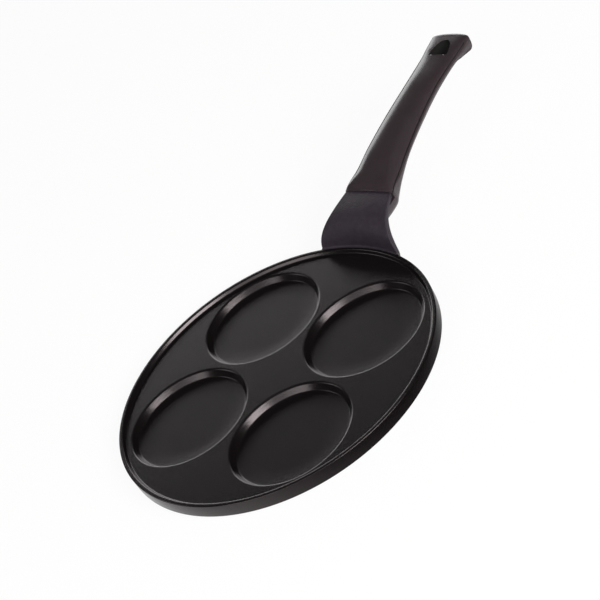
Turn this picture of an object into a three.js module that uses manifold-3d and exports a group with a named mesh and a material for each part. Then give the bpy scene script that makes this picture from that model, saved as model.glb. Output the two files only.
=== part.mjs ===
// Four-cup pancake pan: a cast aluminium body with four round cups, an arched neck and a tang, and a
// moulded handle that slides over the tang and is held from below by one screw with a spring washer.
// Millimetres, +Z up. The origin is the centre of the base, and +Y points to the handle.
import * as THREE from 'three';
import { mergeVertices } from 'three/addons/utils/BufferGeometryUtils.js';
import Module from 'manifold-3d';

const wasm = await Module();
wasm.setup();

// Pan body: a round plate inside a low rim
const panRadius = 130;
const baseRadius = 129.6;
const baseEdgeRound = 1.4;
const rimHeight = 11.9;
const rimLandInnerRadius = 126.7;
const rimEdgeRound = 0.9;
const plateHeight = 8.8;
const plateRadius = 125.3;
const plateEdgeRound = 1;
const panSegments = 96;

// Cups: four round hollows with sloped walls, set in a square
const cupOffset = 51.3;
const cupTopRadius = 48.1;
const cupFloorRadius = 44.6;
const cupFloorHeight = 3;
const cupLipRound = 0.8;
const cupFootRound = 1.2;
const cupSegments = 48;

// Neck: it arches from the rim to the handle's front face, and its root is sunk in the pan's wall
const neckLength = 32;
const neckRise = 27.3;
const neckRimHalfWidth = 39;
const neckRimGap = 0.2;
const neckRimSteer = new THREE.Vector3(-2.2, 1.8, 15.9);
const neckEndHalfWidth = 22.8;
const neckEndSteer = new THREE.Vector3(3.7, -23.7, -3);
const neckUnderside = [
  new THREE.Vector3(-1, 4.1, -3.4),
  new THREE.Vector3(-0.8, 5, -5.3),
  new THREE.Vector3(-0.5, 2, -4.7),
  new THREE.Vector3(-0.5, 0, -4.7),
];
const neckRootHalfWidth = 41;
const neckRootTop = 6;
const neckRootBottom = 2.2;
const neckRootDepth = 1.5;
const neckEdgeInset = 0.045;
const neckEdgeDrop = 0.2;
const neckSteps = 12;
const neckAcross = 8;

// Tang: a flat bar that carries the neck on into the handle
const tangHalfWidth = 13;
const tangThickness = 6.5;
const tangLap = 7;
const tangReach = 38;
const tangDrop = 3.66;
const tangCornerRadius = 4;
const tangSlope = THREE.MathUtils.degToRad(15);

// Handle: stations from the jaw's nose to the hooked end. Each has its distance past the front face,
// its half-width, and its top and bottom over the neck's upper edge at the handle
const handleStations = [
  { past: -19.5, halfWidth: 21, top: -3.2, bottom: -16.2 },
  { past: -12, halfWidth: 22.3, top: -1.2, bottom: -18.8 },
  { past: 0, halfWidth: 23.6, top: 1.4, bottom: -17.8 },
  { past: 6, halfWidth: 23.2, top: 4.4, bottom: -16.2 },
  { past: 18, halfWidth: 21.7, top: 8.2, bottom: -9.8 },
  { past: 38, halfWidth: 19.3, top: 14.1, bottom: -2.2 },
  { past: 68, halfWidth: 17.2, top: 20, bottom: 5 },
  { past: 100, halfWidth: 16.2, top: 24.4, bottom: 10.3 },
  { past: 128, halfWidth: 16.8, top: 26.4, bottom: 14 },
  { past: 144, halfWidth: 18.6, top: 27.6, bottom: 11 },
];
const ledgeStart = 0.5;
const ledgeSteps = 6;
const handleEndLength = 14.4;
const handleEndMiddle = 19.8;
const handleEndPlanPower = 0.22;
const handleEndSidePower = 0.28;
const handleWidestAt = 0.33;
const handleTopSquareness = { front: 6.4, grip: 3.4, end: 3.4 };
const handleUndersideSquareness = { front: 3.6, grip: 2.6, end: 3.2 };
const handleFrontLength = 28;
const handleHookLength = 26;
const handleRingPoints = 32;
const handleSteps = 27;
const handleEndAngles = [15, 30, 45, 60, 72, 82];

// Hanging hole: a half-moon with its flat side toward the pan, set back from the handle's last station
const hangSetback = 13.4;
const hangHalfWidth = 9;
const hangLength = 16.5;

// Screw and spring washer, on an axis square to the tang
const screwSetback = 3;
const screwRadius = 2.5;
const screwHeadRadius = 4.75;
const screwHeadHeight = 3;
const screwHeadRound = 1.2;
const screwDriveLength = 5;
const screwDriveWidth = 1.2;
const screwDriveDepth = 1.6;
const washerOuterRadius = 4.6;
const washerThickness = 1.2;
const washerSlit = 0.9;
const washerSlitTurn = THREE.MathUtils.degToRad(20);
const seatThickness = 4;
const counterboreRadius = 5.8;
const screwSegments = 32;

// Clearances between mating pieces
const socketGap = 0.3;
const ledgeGap = 0.4;
const screwGap = 0.3;
const seatGap = 0.1;

// Cutters run this far past the surfaces that they open
const cutPast = 0.02;
const cutReach = 60;

const arcSteps = 3;
const weldDistance = 1e-4;

// Where the neck starts at the rim and ends at the handle, and where the handle's end begins
const rimEdgeY = Math.sqrt(panRadius ** 2 - neckRimHalfWidth ** 2);
const handleFrontY = panRadius + neckLength;
const neckEndY = handleFrontY - socketGap;
const neckTop = rimHeight + neckRise;
const handleEndY = handleFrontY + handleStations.at(-1).past;

// Edges of the neck as curves of half-width, Y and Z: each leaves the rim and reaches the handle along
// its steering points, and the lower edge is set off from the upper one at all four points
const neckAtRim = new THREE.Vector3(neckRimHalfWidth, rimEdgeY + neckRimGap, rimHeight);
const neckAtHandle = new THREE.Vector3(neckEndHalfWidth, neckEndY, neckTop);
const neckUpperPoints = [
  neckAtRim,
  neckAtRim.clone().add(neckRimSteer),
  neckAtHandle.clone().add(neckEndSteer),
  neckAtHandle,
];
const neckLowerPoints = neckUpperPoints.map((point, index) => point.clone().add(neckUnderside[index]));
const neckUpperEdge = new THREE.CubicBezierCurve3(...neckUpperPoints);
const neckLowerEdge = new THREE.CubicBezierCurve3(...neckLowerPoints);

// Outline through corners [x, y, round], each corner rounded by a short curve
function roundedOutline(corners) {
  const points = [];
  corners.forEach(([x, y, round], index) => {
    const corner = new THREE.Vector2(x, y);
    if (!round) {
      points.push(corner);
      return;
    }
    const [beforeX, beforeY] = corners.at(index - 1);
    const [afterX, afterY] = corners[(index + 1) % corners.length];
    const before = new THREE.Vector2(beforeX, beforeY).sub(corner).normalize();
    const after = new THREE.Vector2(afterX, afterY).sub(corner).normalize();
    const reach = round / Math.tan(Math.acos(before.dot(after)) / 2);
    const start = corner.clone().addScaledVector(before, reach);
    const end = corner.clone().addScaledVector(after, reach);
    points.push(...new THREE.QuadraticBezierCurve(start, corner, end).getPoints(arcSteps));
  });
  return points;
}

// Solid of revolution about +Z from an outline of radius and height
function turned(corners, segments) {
  return new THREE.LatheGeometry(roundedOutline(corners), segments).rotateX(Math.PI / 2);
}

// Closed skin over a row of rings with equal numbers of points, with a fan at each end
function loft(rings) {
  const count = rings[0].length;
  const points = rings.flat();
  const index = [];
  const first = 0;
  const last = (rings.length - 1) * count;
  for (let row = first; row < last; row += count) {
    for (let i = 0; i < count; i += 1) {
      const a = row + i;
      const b = row + (i + 1) % count;
      index.push(a, b, b + count, a, b + count, a + count);
    }
  }
  [first, last].forEach((row) => {
    const centre = new THREE.Vector3();
    for (let i = 0; i < count; i += 1) {
      centre.addScaledVector(points[row + i], 1 / count);
    }
    const hub = points.push(centre) - 1;
    for (let i = 0; i < count; i += 1) {
      const a = row + i;
      const b = row + (i + 1) % count;
      index.push(hub, ...(row === first ? [b, a] : [a, b]));
    }
  });
  const geometry = new THREE.BufferGeometry().setFromPoints(points);
  geometry.setIndex(index);
  return geometry;
}

// Outline in the YZ plane, made solid across X by the given half-width
function acrossX(points, halfWidth) {
  const shape = new THREE.Shape(points);
  const geometry = new THREE.ExtrudeGeometry(shape, { depth: 2 * halfWidth, bevelEnabled: false });
  const across = new THREE.Matrix4().makeBasis(
    new THREE.Vector3(0, 1, 0),
    new THREE.Vector3(0, 0, 1),
    new THREE.Vector3(1, 0, 0),
  );
  return geometry.applyMatrix4(across).translate(-halfWidth, 0, 0);
}

// Closed mesh as a solid: corners merged, empty triangles dropped, faces turned outward
function solid(geometry) {
  const bare = geometry.clone();
  bare.deleteAttribute('normal');
  bare.deleteAttribute('uv');
  const merged = mergeVertices(bare, weldDistance);
  const position = merged.getAttribute('position');
  const triangles = [];
  let volume = 0;
  const corner = [0, 1, 2].map(() => new THREE.Vector3());
  for (let i = 0; i < merged.index.count; i += 3) {
    const triangle = [0, 1, 2].map((k) => merged.index.getX(i + k));
    if (new Set(triangle).size === 3) {
      triangle.forEach((vertex, k) => corner[k].fromBufferAttribute(position, vertex));
      volume += corner[0].dot(corner[1].clone().cross(corner[2]));
      triangles.push(triangle);
    }
  }
  if (volume < 0) {
    triangles.forEach((triangle) => triangle.reverse());
  }
  return new wasm.Manifold(new wasm.Mesh({
    numProp: 3,
    vertProperties: new Float32Array(position.array),
    triVerts: new Uint32Array(triangles.flat()),
  }));
}

// Named mesh of a finished solid
function part(name, body, material) {
  const { vertProperties, triVerts } = body.getMesh();
  const geometry = new THREE.BufferGeometry();
  geometry.setAttribute('position', new THREE.BufferAttribute(new Float32Array(vertProperties), 3));
  geometry.setIndex(new THREE.BufferAttribute(new Uint32Array(triVerts), 1));
  geometry.computeVertexNormals();
  const mesh = new THREE.Mesh(geometry, material);
  mesh.name = name;
  return mesh;
}

// The tang's own frame: X across, Y along the bar, Z square to it, on its middle plane at a given
// distance past the handle's front face
function onTang(geometry, past) {
  const rise = past * Math.tan(tangSlope);
  return geometry.rotateX(tangSlope).translate(0, handleFrontY + past, neckTop - tangDrop + rise);
}

function plate() {
  return solid(turned([
    [0, 0],
    [baseRadius, 0, baseEdgeRound],
    [panRadius, rimHeight, rimEdgeRound],
    [rimLandInnerRadius, rimHeight, rimEdgeRound],
    [plateRadius, plateHeight, plateEdgeRound],
    [0, plateHeight],
  ], panSegments));
}

function cup(x, y) {
  const lipHeight = plateHeight + cutPast;
  return solid(turned([
    [0, cupFloorHeight],
    [cupFloorRadius, cupFloorHeight, cupFootRound],
    [cupTopRadius, lipHeight, cupLipRound],
    [cupTopRadius + 2 * cupLipRound, lipHeight],
    [cupTopRadius + 2 * cupLipRound, lipHeight + cutReach],
    [0, lipHeight + cutReach],
  ], cupSegments).translate(x, y, 0));
}

// One ring of the neck: a rounded bar section, bowed in plan to follow the rim
function neckRing(upper, lower, bow) {
  const inset = 1 - neckEdgeInset;
  const upperSide = [];
  for (let i = 0; i <= neckAcross; i += 1) {
    upperSide.push([THREE.MathUtils.lerp(-inset, inset, i / neckAcross), 0]);
  }
  const lowerSide = upperSide.map(([across]) => [across, 1]).reverse();
  const rightEdge = [[1, neckEdgeDrop], [1, 1 - neckEdgeDrop]];
  const leftEdge = [[-1, 1 - neckEdgeDrop], [-1, neckEdgeDrop]];
  const outline = [...upperSide, ...rightEdge, ...lowerSide, ...leftEdge];
  return outline.map(([across, down]) => {
    const point = upper.clone().lerp(lower, down);
    return new THREE.Vector3(across * point.x, point.y + bow * (1 - across * across), point.z);
  });
}

// Side point of the neck's root at a given height, a little inside the pan's wall
function neckRootPoint(z) {
  const wallRadius = THREE.MathUtils.lerp(baseRadius, panRadius, z / rimHeight);
  const y = Math.sqrt((wallRadius - neckRootDepth) ** 2 - neckRootHalfWidth ** 2);
  return new THREE.Vector3(neckRootHalfWidth, y, z);
}

function neck() {
  const rootBow = panRadius - Math.sqrt(panRadius ** 2 - neckRootHalfWidth ** 2);
  const rings = [neckRing(neckRootPoint(neckRootTop), neckRootPoint(neckRootBottom), rootBow)];
  for (let i = 0; i <= neckSteps; i += 1) {
    const along = i / neckSteps;
    const edge = neckUpperEdge.getPoint(along);
    const rimBow = panRadius - Math.sqrt(panRadius ** 2 - edge.x ** 2);
    rings.push(neckRing(edge, neckLowerEdge.getPoint(along), rimBow * (1 - along) ** 2));
  }
  return solid(loft(rings));
}

// The tang, or with a gap the socket that takes it
function tang(gap) {
  const halfWidth = tangHalfWidth + gap;
  const near = -tangLap / Math.cos(tangSlope);
  const far = tangReach / Math.cos(tangSlope) + gap;
  const outline = roundedOutline([
    [-halfWidth, near],
    [halfWidth, near],
    [halfWidth, far, tangCornerRadius],
    [-halfWidth, far, tangCornerRadius],
  ]);
  const depth = tangThickness + 2 * gap;
  const bar = new THREE.ExtrudeGeometry(new THREE.Shape(outline), { depth, bevelEnabled: false });
  return solid(onTang(bar.translate(0, 0, -depth / 2), 0));
}

// Round pin on the screw's axis between two heights over the tang's middle plane
function screwPin(radius, low, high) {
  const pin = turned([[0, low], [radius, low], [radius, high], [0, high]], screwSegments);
  return solid(onTang(pin, screwSetback));
}

function panBody() {
  let body = plate().add(neck()).add(tang(0));
  [-cupOffset, cupOffset].forEach((x) => {
    [-cupOffset, cupOffset].forEach((y) => {
      body = body.subtract(cup(x, y));
    });
  });
  return body.subtract(screwPin(screwRadius + screwGap, -tangThickness, tangThickness));
}

// How square the handle's section is at a given Y, easing from its front to its grip and to its end
function squarenessAt(y, { front, grip, end }) {
  const behind = THREE.MathUtils.smoothstep(y, handleFrontY, handleFrontY + handleFrontLength);
  const hooked = THREE.MathUtils.smoothstep(y, handleEndY - handleHookLength, handleEndY);
  return THREE.MathUtils.lerp(THREE.MathUtils.lerp(front, grip, behind), end, hooked);
}

// One ring of the handle: flat-crowned above its widest line and rounder below it
function handleRing(y, halfWidth, top, bottom) {
  const widest = THREE.MathUtils.lerp(top, bottom, handleWidestAt);
  const topSquareness = squarenessAt(y, handleTopSquareness);
  const undersideSquareness = squarenessAt(y, handleUndersideSquareness);
  const ring = [];
  for (let i = 0; i < handleRingPoints; i += 1) {
    const angle = 2 * Math.PI * i / handleRingPoints;
    const across = Math.cos(angle);
    const rise = Math.sin(angle);
    const power = 2 / (rise > 0 ? topSquareness : undersideSquareness);
    const height = rise > 0 ? top - widest : widest - bottom;
    ring.push(new THREE.Vector3(
      halfWidth * Math.sign(across) * Math.abs(across) ** power,
      y,
      widest + height * Math.sign(rise) * Math.abs(rise) ** power,
    ));
  }
  return ring;
}

function handleBlank() {
  const curveOf = (side) => {
    const points = handleStations.map(({ past, halfWidth, [side]: over }) => (
      new THREE.Vector3(halfWidth, handleFrontY + past, neckTop + over)
    ));
    return new THREE.CatmullRomCurve3(points, false, 'catmullrom');
  };
  const topCurve = curveOf('top');
  const bottomCurve = curveOf('bottom');
  const rings = [];
  for (let i = 0; i <= handleSteps; i += 1) {
    const upper = topCurve.getPoint(i / handleSteps);
    const lower = bottomCurve.getPoint(i / handleSteps);
    rings.push(handleRing(upper.y, upper.x, upper.z, lower.z));
  }
  const end = handleStations.at(-1);
  handleEndAngles.map(THREE.MathUtils.degToRad).forEach((angle) => {
    const narrowing = Math.cos(angle) ** handleEndPlanPower;
    const thinning = Math.cos(angle) ** handleEndSidePower;
    rings.push(handleRing(
      handleEndY + handleEndLength * Math.sin(angle),
      end.halfWidth * narrowing,
      neckTop + THREE.MathUtils.lerp(handleEndMiddle, end.top, thinning),
      neckTop + THREE.MathUtils.lerp(handleEndMiddle, end.bottom, thinning),
    ));
  });
  return solid(loft(rings));
}

// Everything of the blank in front of the handle's front face and above the jaw's ledge
function frontCut() {
  const ledge = [];
  for (let i = 0; i <= ledgeSteps; i += 1) {
    const point = neckLowerEdge.getPoint(THREE.MathUtils.lerp(ledgeStart, 1, i / ledgeSteps));
    ledge.push(new THREE.Vector2(point.y, point.z - ledgeGap));
  }
  const ledgeEnd = ledge.at(-1).y;
  return solid(acrossX([
    ...ledge,
    new THREE.Vector2(handleFrontY, ledgeEnd),
    new THREE.Vector2(handleFrontY, ledgeEnd + cutReach),
    new THREE.Vector2(ledge[0].x, ledgeEnd + cutReach),
  ], cutReach));
}

function hangingHole() {
  const outline = new THREE.Shape();
  outline.absellipse(0, handleEndY - hangSetback, hangHalfWidth, hangLength, 0, Math.PI, false);
  const options = { depth: 2 * cutReach, bevelEnabled: false };
  return solid(new THREE.ExtrudeGeometry(outline, options));
}

const socketFloor = -tangThickness / 2 - socketGap;
const seat = socketFloor - seatThickness;
const washerTop = seat - seatGap;
const headTop = washerTop - washerThickness - seatGap;

function handle() {
  return handleBlank()
    .subtract(frontCut())
    .subtract(tang(socketGap))
    .subtract(hangingHole())
    .subtract(screwPin(screwRadius + screwGap, -cutReach, 0))
    .subtract(screwPin(counterboreRadius, -cutReach, seat));
}

function screw() {
  const headBottom = headTop - screwHeadHeight;
  const blank = turned([
    [0, headBottom],
    [screwHeadRadius, headBottom, screwHeadRound],
    [screwHeadRadius, headTop],
    [screwRadius, headTop],
    [screwRadius, tangThickness / 2],
    [0, tangThickness / 2],
  ], screwSegments);
  let body = solid(onTang(blank, screwSetback));
  [0, Math.PI / 2].forEach((turn) => {
    const slot = new THREE.BoxGeometry(screwDriveLength, screwDriveWidth, 2 * screwDriveDepth);
    slot.rotateZ(turn).translate(0, 0, headBottom);
    body = body.subtract(solid(onTang(slot, screwSetback)));
  });
  return body;
}

function springWasher() {
  const innerRadius = screwRadius + screwGap;
  const washerBottom = washerTop - washerThickness;
  const ring = turned([
    [innerRadius, washerBottom],
    [washerOuterRadius, washerBottom],
    [washerOuterRadius, washerTop],
    [innerRadius, washerTop],
    [innerRadius, washerBottom],
  ], screwSegments);
  const slit = new THREE.BoxGeometry(2 * washerOuterRadius, washerSlit, 3 * washerThickness);
  slit.rotateX(washerSlitTurn).translate(washerOuterRadius, 0, washerTop - washerThickness / 2);
  return solid(onTang(ring, screwSetback)).subtract(solid(onTang(slit, screwSetback)));
}

const coating = new THREE.MeshStandardMaterial({ color: 0x353132, roughness: 0.5, metalness: 0.1 });
const phenolic = new THREE.MeshStandardMaterial({ color: 0x3a3133, roughness: 0.45, metalness: 0 });
const steel = new THREE.MeshStandardMaterial({ color: 0xb4b4b0, roughness: 0.35, metalness: 1 });

const pan = new THREE.Group();
pan.add(part('pan_body', panBody(), coating));
pan.add(part('handle', handle(), phenolic));
pan.add(part('handle_screw', screw(), steel));
pan.add(part('spring_washer', springWasher(), steel));

export default pan;
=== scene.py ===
"""Looks of a four-cup pancake pan: a coated casting with a moulded handle, its screw and its washer."""
import math
from collections import namedtuple

import bmesh
import bpy
from mathutils import Matrix, Vector


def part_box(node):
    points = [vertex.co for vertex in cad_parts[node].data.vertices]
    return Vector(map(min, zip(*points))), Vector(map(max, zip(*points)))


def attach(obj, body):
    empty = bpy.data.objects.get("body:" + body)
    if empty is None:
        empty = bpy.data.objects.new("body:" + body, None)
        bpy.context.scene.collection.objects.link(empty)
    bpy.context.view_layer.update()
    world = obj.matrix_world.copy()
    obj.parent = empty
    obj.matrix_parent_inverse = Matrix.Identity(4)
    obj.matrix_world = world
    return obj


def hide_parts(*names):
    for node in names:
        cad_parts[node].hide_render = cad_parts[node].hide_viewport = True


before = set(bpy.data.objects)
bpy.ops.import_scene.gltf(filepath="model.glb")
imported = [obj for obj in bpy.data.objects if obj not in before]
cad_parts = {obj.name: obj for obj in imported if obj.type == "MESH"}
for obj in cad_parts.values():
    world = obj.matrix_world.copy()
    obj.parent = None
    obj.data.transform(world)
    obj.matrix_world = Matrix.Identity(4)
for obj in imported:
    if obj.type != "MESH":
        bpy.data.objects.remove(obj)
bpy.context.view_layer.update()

# Shapes are worked out in millimetres, in the frame of the CAD, and end in metres
MM = 0.001
X, Y, Z = range(3)

# Distance under which two places are one, and half the side of a block before it is shaped
TOUCH = 0.01
HALF = 0.5

# Rounds, and the flat border beside one that keeps its shading off the flat face
ROUND_SEGMENTS = 5
ROUND_PROFILE = 0.5
BORDER = 1.8
CREASE_ANGLE = math.radians(32)

# Plate and rim
PAN_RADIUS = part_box("pan_body")[1].x / MM
BASE_DRAFT = 0.4
BASE_RADIUS = PAN_RADIUS - BASE_DRAFT
RIM_HEIGHT = 11.9
RIM_LAND_WIDTH = 3.3
RIM_INNER_LEAN = 1.4
PLATE_HEIGHT = 8.8
RIM_ROUND = 0.9
PLATE_EDGE_ROUND = 0.8
BASE_EDGE_ROUND = 1.4
PAN_SEGMENTS = 288

# Cups, one at each corner of a square, with a floor that rises a little toward its wall
CUP_OFFSET = 51.3
CUP_TOP_RADIUS = 48.1
CUP_WALL_LEAN = 3.2
CUP_FLOOR_HEIGHT = 3.0
CUP_LIP_ROUND = 1.1
CUP_FOOT_ROUND = 0.6
CUP_DISH = 0.5
CUP_DISH_START = 28.0
CUP_DISH_RINGS = 7
CUP_SEGMENTS = 160

# Neck: from the rim's land over a fillet, up the arch to the handle; half-width, Y and Z
NECK_UPPER = [(38.4, 124.2, 11.9), (36.1, 126, 27.8), (26.1, 138, 36.2), (22.8, 161.7, 39.2)]
NECK_LOWER = [(37.4, 128.3, 8.5), (35.3, 131, 22.5), (25.6, 140, 31.5), (22.3, 161.7, 34.5)]
NECK_TOP = NECK_UPPER[-1][Z]
NECK_ROOT = (41, 121.5, 2.2)
NECK_ROOT_FLARE = 1.2
NECK_FILLET = 1.7
NECK_FILLET_SHARE = 0.2
NECK_FILLET_END = 0.035
NECK_EDGE_ROUND = 1.1
NECK_CROWN = 2.4
NECK_CUTS_ALONG = 47
NECK_CUTS_ACROSS = 23

# Materials of the casting by place in its list; lacquer starts a little past the rim
COAT, LACQUER = range(2)
LACQUER_MARGIN = 0.02

# Tang, and the screw's axis square to it
TANG_HALF_WIDTH = 13.0
TANG_THICKNESS = 6.5
TANG_LAP = 7.0
TANG_REACH = 38.0
TANG_DROP = 3.66
TANG_CORNER = 4.0
TANG_SLOPE = math.radians(15)
SOCKET_GAP = 0.3
SCREW_SETBACK = 3.0
SCREW_HOLE_RADIUS = 2.8
COUNTERBORE_RADIUS = 5.8
SEAT_THICKNESS = 4.0
PIN_SEGMENTS = 64

# Handle at sections from the jaw's nose to the hooked end. widest_at says how far down the widest line is;
# crown and underside say how square the section is above and below that line.
Section = namedtuple("Section", "y half_width top bottom widest_at crown underside")
HANDLE_FRONT = 162.0
HANDLE_SECTIONS = [
    Section(141.2, 21, 36, 21.6, 0.28, 3.6, 3.4),
    Section(150, 22.3, 38, 20.3, 0.28, 3.6, 3.4),
    Section(162, 24, 40.6, 21.6, 0.3, 6, 3.2),
    Section(168, 23.5, 43.6, 23.4, 0.32, 4.6, 3),
    Section(180, 22.7, 47.4, 31, 0.4, 2.4, 2.6),
    Section(200, 21.4, 53.3, 38.9, 0.43, 2.05, 2.1),
    Section(230, 19.0, 59.2, 45.5, 0.42, 2.2, 2.2),
    Section(262, 16.9, 63.5, 50.5, 0.42, 2.5, 2.2),
    Section(290, 17.3, 65.1, 54.2, 0.42, 2.8, 2.3),
    Section(302, 18.0, 66.3, 52.2, 0.34, 3.4, 2.6),
    Section(315.7, 18.3, 66.75, 48.6, 0.22, 5, 2.6),
]
HANDLE_SIDES = 160
HANDLE_CUTS = 199

# Materials of the handle by place in its list; the second is phenolic painted near black as shade
POLISHED, PAINTED_SHADE = range(2)

# End of the handle: rounded, bulging, and bowed back toward its corners. The top and bottom go in by a
# part of the round.
HANDLE_END_SHARE = 0.2
HANDLE_END_ROUND = 2.2
HANDLE_END_TOP_INSET = 0.5
HANDLE_END_BOTTOM_INSET = 0.7
HANDLE_END_CLOSING = 0.98
HANDLE_END_BULGE = 2.3
HANDLE_END_ARC = 1.8
HANDLE_END_ARC_LENGTH = 11.0

# Front edge of the handle, over and beside the socket's mouth
FRONT_EDGE_ROUND = 0.5
FRONT_EDGE_SEGMENTS = 3
FRONT_EDGE_LEAST_FOLD = 0.5
FRONT_EDGE_OVER_NECK = 0.5
FRONT_EDGE_BESIDE_TANG = 6.5

# Shoulder: a fine step along both sides, where the handle's top overhangs its flanks, and a near black line
# of painted shade under the overhang
SHOULDER_TURN = math.radians(22.4)
SHOULDER_STEP = 0.45
SHOULDER_LINE_ROWS = 4
SHOULDER_START = 172.0
SHOULDER_FADE = 296.0
SHOULDER_END = 308.0

# Thumb rest: a shallow dip in the handle's top, behind a low brow
THUMB_START = 169.0
THUMB_BACK = 226.0
THUMB_FRONT_WALL = 10.0
THUMB_ARC = 6.0
THUMB_DEPTH = 0.4

# Ledge of the jaw, which follows the neck's underside from a share of its arch
LEDGE_START = 0.5
LEDGE_GAP = 0.4
LEDGE_STEPS = 10

# Hanging hole: a half-moon with its flat side toward the pan and a rounded mouth
HANG_FLAT = 293.2
HANG_HALF_WIDTH = 8.8
HANG_LENGTH = 16.2
HANG_MOUTH_ROUND = 0.3
HANG_MOUTH_STEPS = 5
HANG_STEPS = 40
HANG_OVERCUT = 2.0

# How far a cutter reaches past the handle
CUT_REACH = 60.0

# Camera of the photograph, found from the pan's own circles in it: it stands high and is rolled
CAMERA_AZIMUTH = math.radians(54.708)
CAMERA_ELEVATION = math.radians(33.2735)
CAMERA_ROLL = math.radians(-32.5477)
CAMERA_DISTANCE = 1461.409
CAMERA_TARGET = Vector((-37.805, 80.288, 0))
CAMERA_SENSOR = 36
CAMERA_LENS = 114.197

# Soft boxes, in metres: place, width, height and watts
SOFT_BOXES = {
    "right_soft_box": ((2.32, -0.24, 1.14), 1.85, 0.82, 64),
    "front_right_soft_box": ((1.62, -1.68, 1.14), 1.9, 1.0, 12),
    "front_soft_box": ((0.21, -2.4, 0.97), 1.6, 1.0, 19),
    "front_left_soft_box": ((-1.93, -0.98, 1.25), 1.2, 0.8, 5),
    "back_left_panel": ((-4.5, 3.75, 1.68), 4.85, 2.15, 104),
    "top_soft_box": ((0.2, 0.1, 2.0), 2.4, 2.4, 2.5),
}
SOFT_BOX_TARGET = Vector((0, 0.05, 0))

# Room, with 1 for white: what the camera sees, and what lights the pan from the horizon and from above
WHITE = (1, 1, 1, 1)
ROOM_SHOWN = 1.0
ROOM_LOW = 0.01
ROOM_HIGH = 0.03
ROOM_HIGH_FROM = 0.5

# Floor: what the camera sees, and what the pan mirrors, which fades to the right and behind over a way
# in metres
FLOOR_SHOWN = 1.03
FLOOR_SHOWN_SHARE = 0.9
FLOOR_MIRRORED = 1.0
FLOOR_RIGHT_LEVEL = 0.02
FLOOR_RIGHT_FADE = (0.05, 0.15)
FLOOR_BACK_SHARE = 0.1
FLOOR_BACK_FADE = (0.15, 0.21)
FLOOR_BACK_WAY = (-0.816, 0.578, 0)
FLOOR_HALF_SIZE = 4
FLOOR_DROP = 0.0002


def bezier(points, t):
    """Point of a curve steered by four points."""
    p, q, r, s = (Vector(point) for point in points)
    back = 1 - t
    return back**3 * p + 3 * back**2 * t * q + 3 * back * t**2 * r + t**3 * s


def spline(stations, share):
    """Point of a smooth curve through stations, where each stretch between two takes an equal share."""
    position = share * (len(stations) - 1)
    index = min(int(position), len(stations) - 2)
    t = position - index
    p, q = Vector(stations[index]), Vector(stations[index + 1])
    before = Vector(stations[index - 1]) if index else 2 * p - q
    after = Vector(stations[index + 2]) if index + 2 < len(stations) else 2 * q - p
    leave, arrive = (q - before) / 2, (after - p) / 2
    return (
        (2 * t**3 - 3 * t**2 + 1) * p
        + (t**3 - 2 * t**2 + t) * leave
        + (3 * t**2 - 2 * t**3) * q
        + (t**3 - t**2) * arrive
    )


def ease(value, start, end):
    """0 before start, 1 after end, and smooth between."""
    share = min(max((value - start) / (end - start), 0), 1)
    return share * share * (3 - 2 * share)


def mix(a, b, share):
    """Value on the way from a to b."""
    return a + (b - a) * share


def span(edge, axis):
    """How far an edge runs along an axis."""
    return abs(edge.verts[0].co[axis] - edge.verts[1].co[axis])


def mesh_object(name, bm):
    """New object from a bmesh, which is freed."""
    mesh = bpy.data.meshes.new(name)
    bm.to_mesh(mesh)
    bm.free()
    made = bpy.data.objects.new(name, mesh)
    bpy.context.scene.collection.objects.link(made)
    return made


def combine(target, tool, operation):
    """Joins a tool's solid to the target, or cuts it out, and removes the tool."""
    modifier = target.modifiers.new("combine", "BOOLEAN")
    modifier.object = tool
    modifier.operation = operation
    modifier.solver = "EXACT"
    shown = target.evaluated_get(bpy.context.evaluated_depsgraph_get())
    mesh = bpy.data.meshes.new_from_object(shown)
    target.modifiers.clear()
    target.data = mesh
    bpy.data.objects.remove(tool)


def circle(bm, radius, height, centre, segments):
    """Ring of edges at a height over the base."""
    at = Matrix.Translation((centre.x, centre.y, height))
    verts = bmesh.ops.create_circle(bm, radius=radius, segments=segments, matrix=at)["verts"]
    return list({edge for vert in verts for edge in vert.link_edges})


def carry(bm, ring, centre, old_radius, radius, height):
    """Extrudes a ring of edges to another radius and height, and returns the new ring."""
    made = bmesh.ops.extrude_edge_only(bm, edges=ring)["geom"]
    verts = [item for item in made if isinstance(item, bmesh.types.BMVert)]
    grow = radius / old_radius
    rise = height - verts[0].co.z
    bmesh.ops.scale(bm, vec=(grow, grow, 1), space=Matrix.Translation(-centre), verts=verts)
    bmesh.ops.translate(bm, vec=(0, 0, rise), verts=verts)
    fresh = set(verts)
    return list({edge for vert in verts for edge in vert.link_edges if fresh.issuperset(edge.verts)})


def round_edges(bm, edges, offset, segments=ROUND_SEGMENTS):
    """Rounds edges by a bevel."""
    bmesh.ops.bevel(
        bm,
        geom=edges,
        offset=offset,
        segments=segments,
        profile=ROUND_PROFILE,
        affect="EDGES",
        material=-1,
        clamp_overlap=False,
    )


def turned_rings(bm, ring, centre, radius, outline):
    """Carries a ring through an outline of radius, height and round, and closes it with a flat face."""
    rounds = []
    for next_radius, height, edge_round in outline:
        ring = carry(bm, ring, centre, radius, next_radius, height)
        radius = next_radius
        if edge_round:
            rounds.append((ring, edge_round))
    bmesh.ops.contextual_create(bm, geom=ring)
    return rounds


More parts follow.
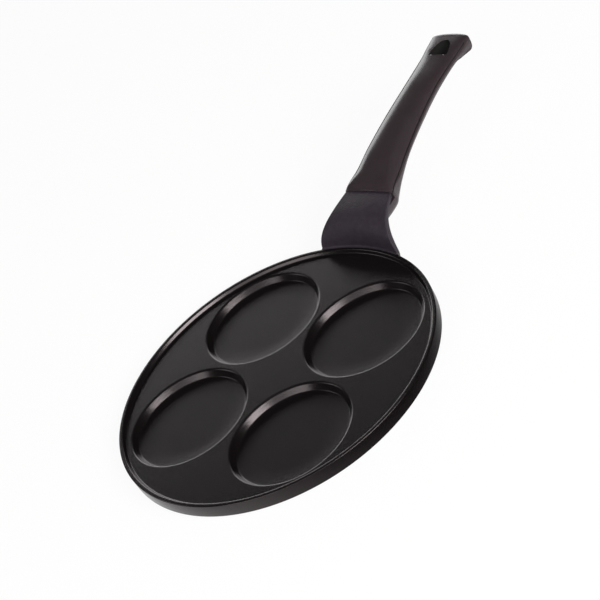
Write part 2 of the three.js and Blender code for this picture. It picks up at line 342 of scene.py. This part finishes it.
def plate_with_cups():
    """The round plate inside its rim, with the four cups sunk in it."""
    bm = bmesh.new()
    middle = Vector((0, 0, 0))
    land_inner = PAN_RADIUS - RIM_LAND_WIDTH
    plate_radius = land_inner - RIM_INNER_LEAN
    plate_ring = circle(bm, plate_radius - BORDER, PLATE_HEIGHT, middle, PAN_SEGMENTS)
    plate_edges = list(plate_ring)
    rounds = turned_rings(bm, plate_ring, middle, plate_radius - BORDER, [
        (plate_radius, PLATE_HEIGHT, PLATE_EDGE_ROUND),
        (land_inner, RIM_HEIGHT, RIM_ROUND),
        (PAN_RADIUS, RIM_HEIGHT, RIM_ROUND),
        (BASE_RADIUS, 0, BASE_EDGE_ROUND),
        (BASE_RADIUS - 2 * BORDER, 0, 0),
    ])
    floor_radius = CUP_TOP_RADIUS - CUP_WALL_LEAN
    dish = []
    for i in range(1, CUP_DISH_RINGS + 1):
        share = i / CUP_DISH_RINGS
        radius = mix(floor_radius, CUP_DISH_START, share)
        dish.append((radius, CUP_FLOOR_HEIGHT + CUP_DISH * (1 - share) ** 2, 0))
    for x in (-CUP_OFFSET, CUP_OFFSET):
        for y in (-CUP_OFFSET, CUP_OFFSET):
            centre = Vector((x, y, 0))
            lip_radius = CUP_TOP_RADIUS + BORDER
            lip_ring = circle(bm, lip_radius, PLATE_HEIGHT, centre, CUP_SEGMENTS)
            plate_edges += lip_ring
            rounds += turned_rings(bm, lip_ring, centre, lip_radius, [
                (CUP_TOP_RADIUS, PLATE_HEIGHT, CUP_LIP_ROUND),
                (floor_radius, CUP_FLOOR_HEIGHT + CUP_DISH, CUP_FOOT_ROUND),
                *dish,
            ])
    bmesh.ops.triangle_fill(bm, use_beauty=True, edges=plate_edges, normal=(0, 0, 1))
    bmesh.ops.recalc_face_normals(bm, faces=bm.faces)
    for ring, edge_round in rounds:
        round_edges(bm, ring, edge_round)
    return mesh_object("pan_casting", bm)


def neck_place(across, along, down):
    """Point of the neck: across from side to side, along from the rim to the handle, down through it."""
    if along < NECK_FILLET_SHARE:
        share = along / NECK_FILLET_SHARE
        turn = share * math.pi / 2
        upper = bezier(NECK_UPPER, NECK_FILLET_END)
        lift = upper.z - RIM_HEIGHT
        upper.x += NECK_ROOT_FLARE * (1 - math.sin(turn))
        upper.y -= NECK_FILLET * (1 - math.sin(turn))
        upper.z -= lift * math.cos(turn)
        lower = mix(Vector(NECK_ROOT), bezier(NECK_LOWER, NECK_FILLET_END), share)
        along_curve = NECK_FILLET_END
    else:
        share = (along - NECK_FILLET_SHARE) / (1 - NECK_FILLET_SHARE)
        along_curve = mix(NECK_FILLET_END, 1, share)
        upper = bezier(NECK_UPPER, along_curve)
        lower = bezier(NECK_LOWER, along_curve)
    edge = mix(upper, lower, down)
    bow = (PAN_RADIUS - math.sqrt(PAN_RADIUS**2 - upper.x**2)) * (1 - along_curve) ** 2
    crown = 4 * NECK_CROWN * along_curve * (1 - along_curve) * (1 - down)
    fullness = 1 - across**2
    return Vector((across * edge.x, edge.y + bow * fullness, edge.z + crown * fullness))


def divided_block(cuts_along, cuts_across):
    """Block of side 1 about the origin, cut into slices along Y and then across X."""
    bm = bmesh.new()
    bmesh.ops.create_cube(bm, size=1)
    for axis, cuts in ((Y, cuts_along), (X, cuts_across)):
        edges = [edge for edge in bm.edges if span(edge, axis) > HALF]
        bmesh.ops.subdivide_edges(bm, edges=edges, cuts=cuts, use_grid_fill=True)
    return bm


def neck():
    """The arched neck: a divided block, shaped, with its four long edges rounded."""
    bm = divided_block(NECK_CUTS_ALONG, NECK_CUTS_ACROSS)
    long_edges = [
        edge for edge in bm.edges
        if span(edge, Y) > TOUCH
        and all(min(abs(vert.co.x), abs(vert.co.z)) > HALF - TOUCH for vert in edge.verts)
    ]
    for vert in bm.verts:
        vert.co = neck_place(vert.co.x / HALF, HALF + vert.co.y, HALF - vert.co.z)
    bmesh.ops.recalc_face_normals(bm, faces=bm.faces)
    round_edges(bm, long_edges, NECK_EDGE_ROUND)
    return mesh_object("neck", bm)


def on_tang(past):
    """Frame on the tang's middle plane, past the handle's front: X across, Y along it, Z square to it."""
    height = NECK_TOP - TANG_DROP + past * math.tan(TANG_SLOPE)
    return Matrix.Translation((0, HANDLE_FRONT + past, height)) @ Matrix.Rotation(TANG_SLOPE, 4, "X")


def tang(gap):
    """The bar that the handle slides on, or with a gap the socket for it."""
    bm = bmesh.new()
    near = -TANG_LAP / math.cos(TANG_SLOPE)
    far = TANG_REACH / math.cos(TANG_SLOPE) + gap
    size = (2 * (TANG_HALF_WIDTH + gap), far - near, TANG_THICKNESS + 2 * gap)
    bmesh.ops.create_cube(bm, size=1)
    bmesh.ops.scale(bm, vec=size, verts=bm.verts)
    bmesh.ops.translate(bm, vec=(0, (near + far) / 2, 0), verts=bm.verts)
    far_corners = [
        edge for edge in bm.edges
        if span(edge, Z) > TOUCH and all(vert.co.y > near + TOUCH for vert in edge.verts)
    ]
    round_edges(bm, far_corners, TANG_CORNER)
    bmesh.ops.transform(bm, matrix=on_tang(0), verts=bm.verts)
    return mesh_object("tang", bm)


def screw_pin(radius, low, high):
    """Round pin on the screw's axis, between heights over the tang's middle plane."""
    bm = bmesh.new()
    bmesh.ops.create_cone(
        bm,
        cap_ends=True,
        segments=PIN_SEGMENTS,
        radius1=radius,
        radius2=radius,
        depth=high - low,
        matrix=on_tang(SCREW_SETBACK) @ Matrix.Translation((0, 0, (low + high) / 2)),
    )
    return mesh_object("screw_pin", bm)


def handle_section(share):
    """Section at a share of the handle's length, which closes over the round and bulge of its end."""
    body_share = 1 - HANDLE_END_SHARE
    section = Section(*spline(HANDLE_SECTIONS, min(share / body_share, 1)))
    past_body = (share - body_share) / HANDLE_END_SHARE
    if past_body <= 0:
        return section
    angle = min(2 * past_body, 1) * math.pi / 2
    inset = HANDLE_END_ROUND * (1 - math.cos(angle))
    inward = max(2 * past_body - 1, 0) * HANDLE_END_CLOSING
    middle = (section.top + section.bottom) / 2
    return section._replace(
        y=section.y + HANDLE_END_ROUND * math.sin(angle) + HANDLE_END_BULGE * (1 - (1 - inward) ** 2),
        half_width=(section.half_width - inset) * (1 - inward),
        top=mix(section.top - HANDLE_END_TOP_INSET * inset, middle, inward),
        bottom=mix(section.bottom + HANDLE_END_BOTTOM_INSET * inset, middle, inward),
    )


def thumb_dip(y, side):
    """Depth of the thumb rest at a place along the handle, and from -1 to 1 across it."""
    wall = THUMB_START + THUMB_ARC * side**2
    wall_end = wall + THUMB_FRONT_WALL
    along = ease(y, wall, wall_end) * (1 - ease(y, wall_end, THUMB_BACK))
    return THUMB_DEPTH * along * (1 - side**2) ** 2


def handle_place(turn, share):
    """Point of the handle's skin: turn goes round its section, share from the jaw's nose to its end."""
    section = handle_section(share)
    y, half_width = section.y, section.half_width
    rise, across = math.sin(turn), math.cos(turn)
    if rise < math.sin(SHOULDER_TURN):
        fading = ease(y, SHOULDER_FADE, SHOULDER_END)
        half_width -= SHOULDER_STEP * ease(y, HANDLE_FRONT, SHOULDER_START) * (1 - fading)
    widest = mix(section.top, section.bottom, section.widest_at)
    height = section.top - widest if rise > 0 else widest - section.bottom
    power = 2 / (section.crown if rise > 0 else section.underside)
    side = math.copysign(abs(across) ** power, across)
    dip = thumb_dip(y, side) if rise > 0 else 0
    end_start = HANDLE_SECTIONS[-1].y
    end_bow = HANDLE_END_ARC * side**2 * ease(y, end_start - HANDLE_END_ARC_LENGTH, end_start)
    return Vector((
        half_width * side,
        y - end_bow,
        widest + height * math.copysign(abs(rise) ** power, rise) - dip,
    ))


def handle_blank():
    """The handle before its cuts: a round bar, sliced and then shaped, with a line of painted shade under
    each shoulder.
    """
    bm = bmesh.new()
    bmesh.ops.create_cone(bm, cap_ends=True, segments=HANDLE_SIDES, radius1=1, radius2=1, depth=1)
    long_edges = [edge for edge in bm.edges if span(edge, Z) > HALF]
    bmesh.ops.subdivide_edges(bm, edges=long_edges, cuts=HANDLE_CUTS)
    line_low = math.sin(SHOULDER_TURN - SHOULDER_LINE_ROWS * 2 * math.pi / HANDLE_SIDES)
    line_high = math.sin(SHOULDER_TURN)
    line = [face for face in bm.faces if line_low < face.calc_center_median().y < line_high]
    for vert in bm.verts:
        vert.co = handle_place(math.atan2(vert.co.y, vert.co.x), HALF + vert.co.z)
    # Rows under each shoulder behind the front take the phenolic painted near black as shade
    for face in line:
        behind_front = HANDLE_FRONT < face.calc_center_median().y < SHOULDER_END
        face.material_index = PAINTED_SHADE if behind_front else POLISHED
    bmesh.ops.recalc_face_normals(bm, faces=bm.faces)
    return mesh_object("handle_grip", bm)


def prism(name, outline, axis, reach):
    """Closed outline of points, made solid along an axis by the reach."""
    bm = bmesh.new()
    face = bm.faces.new([bm.verts.new(point) for point in outline])
    made = bmesh.ops.extrude_face_region(bm, geom=[face])["geom"]
    verts = [item for item in made if isinstance(item, bmesh.types.BMVert)]
    bmesh.ops.translate(bm, vec=Vector(axis) * reach, verts=verts)
    bmesh.ops.recalc_face_normals(bm, faces=bm.faces)
    return mesh_object(name, bm)


def front_cut():
    """What lies in front of the handle's front face and above the jaw's ledge."""
    shares = [mix(LEDGE_START, 1, i / LEDGE_STEPS) for i in range(LEDGE_STEPS + 1)]
    ledge = [bezier(NECK_LOWER, share) for share in shares]
    outline = [(point.y, point.z - LEDGE_GAP) for point in ledge]
    near, low = outline[0]
    high = low + CUT_REACH
    outline += [(HANDLE_FRONT, outline[-1][1]), (HANDLE_FRONT, high), (near, high)]
    return prism("front_cut", [(-CUT_REACH, y, z) for y, z in outline], (1, 0, 0), 2 * CUT_REACH)


def hanging_hole_ring(grow, over, skin):
    """Half-moon grown by a margin, at a height over the skin there, which is the handle's top or bottom."""
    before, last = HANDLE_SECTIONS[-3], HANDLE_SECTIONS[-1]
    ring = []
    for i in range(HANG_STEPS + 1):
        turn = math.pi * i / HANG_STEPS
        x = (HANG_HALF_WIDTH + grow) * math.cos(turn)
        y = HANG_FLAT - grow + (HANG_LENGTH + 2 * grow) * math.sin(turn)
        height = mix(getattr(before, skin), getattr(last, skin), (y - before.y) / (last.y - before.y))
        ring.append(Vector((x, y, height + over)))
    return ring


def hanging_hole():
    """Cutter for the hole: straight through, and widening in a quarter round at both mouths."""
    turns = [i / HANG_MOUTH_STEPS * math.pi / 2 for i in range(HANG_MOUTH_STEPS + 1)]
    widening = [
        (HANG_MOUTH_ROUND * (1 - math.cos(turn)), HANG_MOUTH_ROUND * (math.sin(turn) - 1)) for turn in turns
    ]
    rings = [hanging_hole_ring(HANG_MOUTH_ROUND, -HANG_OVERCUT, "bottom")]
    rings += [hanging_hole_ring(grow, -over, "bottom") for grow, over in reversed(widening)]
    rings += [hanging_hole_ring(grow, over, "top") for grow, over in widening]
    rings.append(hanging_hole_ring(HANG_MOUTH_ROUND, HANG_OVERCUT, "top"))
    bm = bmesh.new()
    face = bm.faces.new([bm.verts.new(point) for point in rings[0]])
    for ring in rings[1:]:
        face = bmesh.ops.extrude_discrete_faces(bm, faces=[face])["faces"][0]
        for vert, point in zip(face.verts, ring):
            vert.co = point
    bmesh.ops.recalc_face_normals(bm, faces=bm.faces)
    return mesh_object("hanging_hole", bm)


def in_hanging_hole(point):
    """Whether a point is inside the half-moon at its widened mouth."""
    across = point.x / (HANG_HALF_WIDTH + HANG_MOUTH_ROUND)
    along = (point.y - HANG_FLAT + HANG_MOUTH_ROUND) / (HANG_LENGTH + 2 * HANG_MOUTH_ROUND)
    return along > 0 and across**2 + along**2 < 1


def round_front_edge(made):
    """Rounds the edge of the handle's front face above the jaw, but not the edge of the socket in it."""
    bm = bmesh.new()
    bm.from_mesh(made.data)
    ledge = NECK_LOWER[-1][Z]
    over_socket = NECK_TOP + FRONT_EDGE_OVER_NECK
    beside_socket = TANG_HALF_WIDTH + FRONT_EDGE_BESIDE_TANG
    edges = [
        edge for edge in bm.edges
        if all(abs(vert.co.y - HANDLE_FRONT) < TOUCH and vert.co.z > ledge for vert in edge.verts)
        and edge.calc_face_angle(0) > FRONT_EDGE_LEAST_FOLD
        and any(vert.co.z > over_socket or abs(vert.co.x) > beside_socket for vert in edge.verts)
    ]
    round_edges(bm, edges, FRONT_EDGE_ROUND, FRONT_EDGE_SEGMENTS)
    bm.to_mesh(made.data)
    bm.free()


def finished(made, node):
    """Brings a piece to metres, shades it smooth but for its creases, and stands it for its CAD node."""
    made.data.transform(Matrix.Scale(MM, 4))
    made.data.polygons.foreach_set("use_smooth", [True] * len(made.data.polygons))
    made.data.set_sharp_from_angle(angle=CREASE_ANGLE)
    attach(made, "root")
    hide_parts(node)


def pan_casting(coat, lacquer):
    """The casting: plate, neck and tang in one, coated but for the neck and tang, which are lacquered."""
    made = plate_with_cups()
    combine(made, neck(), "UNION")
    combine(made, tang(0), "UNION")
    combine(made, screw_pin(SCREW_HOLE_RADIUS, -TANG_THICKNESS, TANG_THICKNESS), "DIFFERENCE")
    made.data.materials.append(coat)
    made.data.materials.append(lacquer)
    for face in made.data.polygons:
        above_rim = face.center.z > RIM_HEIGHT + LACQUER_MARGIN
        past_rim = face.center.y > PAN_RADIUS + LACQUER_MARGIN
        face.material_index = LACQUER if above_rim or past_rim else COAT
    finished(made, "pan_body")


def handle_grip(polished, painted_shade):
    """The handle with its ledge, socket, screw hole and hanging hole, the hole's inside painted near black
    as shade.
    """
    made = handle_blank()
    made.data.materials.append(polished)
    made.data.materials.append(painted_shade)
    seat = -TANG_THICKNESS / 2 - SOCKET_GAP - SEAT_THICKNESS
    tools = [
        front_cut(),
        tang(SOCKET_GAP),
        hanging_hole(),
        screw_pin(SCREW_HOLE_RADIUS, -CUT_REACH, 0),
        screw_pin(COUNTERBORE_RADIUS, -CUT_REACH, seat),
    ]
    for tool in tools:
        combine(made, tool, "DIFFERENCE")
    round_front_edge(made)
    # The hanging hole's inside takes the phenolic painted near black as shade
    for face in made.data.polygons:
        if in_hanging_hole(face.center):
            face.material_index = PAINTED_SHADE
    finished(made, "handle")


def linear(hex_colour):
    """sRGB hex colour as linear RGBA."""
    parts = [int(hex_colour[i:i + 2], 16) / 255 for i in (1, 3, 5)]
    return (*(c / 12.92 if c <= 0.04045 else ((c + 0.055) / 1.055) ** 2.4 for c in parts), 1)


def add(tree, kind, inputs=None, **settings):
    """Adds a node with its settings; an input is a value, or an output to link."""
    made = tree.nodes.new(kind)
    for name, value in settings.items():
        setattr(made, name, value)
    for name, value in (inputs or {}).items():
        if isinstance(value, bpy.types.NodeSocket):
            tree.links.new(value, made.inputs[name])
        else:
            made.inputs[name].default_value = value
    return made


def new_material(name):
    """Empty node material and its tree."""
    made = bpy.data.materials.new(name)
    made.use_nodes = True
    made.node_tree.nodes.clear()
    return made, made.node_tree


def noise(tree, blotch, detail):
    """Noise whose blotches are about so many millimetres wide on the object."""
    coordinates = add(tree, "ShaderNodeTexCoord").outputs["Object"]
    made = add(tree, "ShaderNodeTexNoise", {
        "Vector": coordinates, "Scale": 1 / (blotch * MM), "Detail": detail,
    })
    return made.outputs["Fac"]


def tint(tree, share, low, high):
    """Colour between two sRGB hex colours."""
    inputs = {"Factor": share, "A": linear(low), "B": linear(high)}
    return add(tree, "ShaderNodeMix", inputs, data_type="RGBA").outputs["Result"]


def gloss(tree, share, low, high):
    """Roughness between two values."""
    made = add(tree, "ShaderNodeMapRange", {"Value": share, "To Min": low, "To Max": high})
    return made.outputs["Result"]


def relief(tree, height, strength, depth):
    """Normal of a bumpy skin, with its depth in millimetres."""
    made = add(tree, "ShaderNodeBump", {"Height": height, "Strength": strength, "Distance": depth * MM})
    return made.outputs["Normal"]


def shade(tree, inputs):
    """Closes a material with its shader."""
    shader = add(tree, "ShaderNodeBsdfPrincipled", inputs)
    add(tree, "ShaderNodeOutputMaterial", {"Surface": shader.outputs["BSDF"]})


def non_stick_coat():
    """Cast aluminium under a sprayed non-stick coat: soft black with a fine orange peel and a satin gloss.

    The peel is really under 1 mm wide, and is drawn a little coarser so that it shows.
    """
    made, tree = new_material("non_stick_coat_on_cast_aluminium")
    cloud = noise(tree, blotch=12, detail=4)
    peel = noise(tree, blotch=1.3, detail=4)
    shade(tree, {
        "Base Color": tint(tree, cloud, "#0c090a", "#110d0e"),
        "Roughness": gloss(tree, peel, low=0.22, high=0.27),
        "IOR": 1.5,
        "Specular Tint": linear("#fff1f3"),
        "Normal": relief(tree, peel, strength=0.3, depth=0.2),
    })
    return made


def outside_lacquer():
    """Heat-proof lacquer sprayed on the neck: purplish black, sandy and duller than the coat.

    The sand is really about half a millimetre wide, and is drawn coarser so that it shows.
    """
    made, tree = new_material("sprayed_heat_proof_lacquer")
    cloud = noise(tree, blotch=5, detail=5)
    sand = noise(tree, blotch=1.6, detail=3)
    shade(tree, {
        "Base Color": tint(tree, cloud, "#262027", "#3b333c"),
        "Roughness": gloss(tree, sand, low=0.5, high=0.62),
        "IOR": 1.38,
        "Normal": relief(tree, sand, strength=0.8, depth=0.4),
    })
    return made


def moulded_phenolic():
    """Pressed phenolic: brownish black, dense and smooth, with a soft satin gloss from a fine mould."""
    made, tree = new_material("moulded_phenolic")
    cloud = noise(tree, blotch=14, detail=4)
    grain = noise(tree, blotch=0.8, detail=3)
    shade(tree, {
        "Base Color": tint(tree, cloud, "#372e31", "#3f3638"),
        "Roughness": gloss(tree, cloud, low=0.16, high=0.22),
        "IOR": 1.5,
        "Normal": relief(tree, grain, strength=0.06, depth=0.2),
    })
    return made


def phenolic_painted_with_shade():
    """Phenolic painted near black and matt as shade, in the hanging hole and on a line under the handle's
    shoulders.
    """
    made, tree = new_material("phenolic_painted_with_shade")
    grain = noise(tree, blotch=0.9, detail=4)
    shade(tree, {
        "Base Color": tint(tree, grain, "#0a0a09", "#131311"),
        "Roughness": gloss(tree, grain, low=0.6, high=0.75),
        "IOR": 1.3,
    })
    return made


def zinc_plated_steel():
    """Steel under bright zinc: pale grey and a little blotchy, in tint and in gloss."""
    made, tree = new_material("zinc_plated_steel")
    blotch = noise(tree, blotch=1.5, detail=3)
    shade(tree, {
        "Base Color": tint(tree, blotch, "#a9aaa6", "#c2c2bb"),
        "Roughness": gloss(tree, blotch, low=0.25, high=0.42),
        "Metallic": 1.0,
    })
    return made


def calculate(tree, operation, a, b):
    """Result of a sum with two numbers."""
    return add(tree, "ShaderNodeMath", {0: a, 1: b}, operation=operation).outputs[0]


def choose(tree, test, otherwise, if_true):
    """One of two levels."""
    inputs = {"Factor": test, "A": otherwise, "B": if_true}
    return add(tree, "ShaderNodeMix", inputs, data_type="FLOAT").outputs["Result"]


def fade(tree, value, way, first, last):
    """Smooth change from the first level to the last while a value goes along its way."""
    start, end = way
    made = add(tree, "ShaderNodeMapRange", {
        "Value": value, "From Min": start, "From Max": end, "To Min": first, "To Max": last,
    }, interpolation_type="SMOOTHSTEP")
    return made.outputs["Result"]


def floor_paint():
    """White floor that the camera sees bright, with a faint shadow.

    The pan mirrors it bright in front and to the left, and dark to the right and behind, like a floor that
    ends there.
    """
    made, tree = new_material("white_floor")
    ray = add(tree, "ShaderNodeLightPath").outputs
    position = add(tree, "ShaderNodeTexCoord").outputs["Object"]
    rightward = add(tree, "ShaderNodeSeparateXYZ", {"Vector": position}).outputs["X"]
    backward = add(tree, "ShaderNodeVectorMath", {
        0: position, 1: FLOOR_BACK_WAY,
    }, operation="DOT_PRODUCT").outputs["Value"]
    right_level = fade(tree, rightward, FLOOR_RIGHT_FADE, FLOOR_MIRRORED, FLOOR_RIGHT_LEVEL)
    back_share = fade(tree, backward, FLOOR_BACK_FADE, 1.0, FLOOR_BACK_SHARE)
    mirrored_level = calculate(tree, "MULTIPLY", right_level, back_share)
    mirrored = calculate(tree, "MAXIMUM", ray["Is Glossy Ray"], ray["Is Transmission Ray"])
    direct = calculate(tree, "MULTIPLY", ray["Is Camera Ray"], FLOOR_SHOWN_SHARE)
    paint = add(tree, "ShaderNodeBsdfDiffuse", {"Color": linear("#f2f2f2")})
    glow = add(tree, "ShaderNodeEmission", {
        "Color": WHITE,
        "Strength": choose(tree, ray["Is Camera Ray"], mirrored_level, FLOOR_SHOWN),
    })
    surface = add(tree, "ShaderNodeMixShader", {
        0: calculate(tree, "MAXIMUM", mirrored, direct),
        1: paint.outputs["BSDF"],
        2: glow.outputs["Emission"],
    })
    add(tree, "ShaderNodeOutputMaterial", {"Surface": surface.outputs["Shader"]})
    return made


def studio_floor():
    """Plain white floor, just under the pan's base."""
    bm = bmesh.new()
    bmesh.ops.create_grid(bm, x_segments=1, y_segments=1, size=FLOOR_HALF_SIZE)
    bmesh.ops.translate(bm, vec=(0, 0, -FLOOR_DROP), verts=bm.verts)
    floor = mesh_object("floor", bm)
    floor.data.materials.append(floor_paint())


def soft_box(name, location, width, height, watts):
    """Area lamp turned toward the pan."""
    lamp = bpy.data.lights.new(name, "AREA")
    lamp.shape = "RECTANGLE"
    lamp.size = width
    lamp.size_y = height
    lamp.energy = watts
    made = bpy.data.objects.new(name, lamp)
    bpy.context.scene.collection.objects.link(made)
    made.location = location
    made.visible_camera = False
    made.rotation_euler = (SOFT_BOX_TARGET - Vector(location)).to_track_quat("-Z", "Y").to_euler()


def studio_light():
    """Dim room that the camera sees as white, with soft boxes round the pan and a panel behind it."""
    world = bpy.data.worlds.new("studio")
    bpy.context.scene.world = world
    world.use_nodes = True
    tree = world.node_tree
    tree.nodes.clear()
    ray = add(tree, "ShaderNodeLightPath").outputs
    direction = add(tree, "ShaderNodeTexCoord").outputs["Generated"]
    height = add(tree, "ShaderNodeSeparateXYZ", {"Vector": direction}).outputs["Z"]
    level = fade(tree, height, (0.0, ROOM_HIGH_FROM), ROOM_LOW, ROOM_HIGH)
    light = add(tree, "ShaderNodeBackground", {
        "Color": WHITE,
        "Strength": choose(tree, ray["Is Camera Ray"], level, ROOM_SHOWN),
    })
    add(tree, "ShaderNodeOutputWorld", {"Surface": light.outputs["Background"]})
    for name, setting in SOFT_BOXES.items():
        soft_box(name, *setting)


def photo_camera():
    """Camera where the photograph was taken from."""
    level = math.cos(CAMERA_ELEVATION)
    back = Vector((
        math.sin(CAMERA_AZIMUTH) * level,
        -math.cos(CAMERA_AZIMUTH) * level,
        math.sin(CAMERA_ELEVATION),
    ))
    side = Vector((0, 0, 1)).cross(back).normalized()
    rise = back.cross(side)
    right = math.cos(CAMERA_ROLL) * side + math.sin(CAMERA_ROLL) * rise
    up = math.cos(CAMERA_ROLL) * rise - math.sin(CAMERA_ROLL) * side
    lens = bpy.data.cameras.new("camera")
    lens.sensor_width = CAMERA_SENSOR
    lens.lens = CAMERA_LENS
    made = bpy.data.objects.new("camera", lens)
    bpy.context.scene.collection.objects.link(made)
    turned = Matrix((right, up, back)).transposed().to_4x4()
    made.matrix_world = Matrix.Translation((CAMERA_TARGET + back * CAMERA_DISTANCE) * MM) @ turned
    bpy.context.scene.camera = made


photo_camera()
studio_light()
studio_floor()
pan_casting(non_stick_coat(), outside_lacquer())
# The handle's second material is phenolic painted near black as shade
handle_grip(moulded_phenolic(), phenolic_painted_with_shade())
steel = zinc_plated_steel()
for name in ("handle_screw", "spring_washer"):
    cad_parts[name].data.materials.clear()
    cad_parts[name].data.materials.append(steel)
bpy.context.scene.view_settings.view_transform = "Standard"
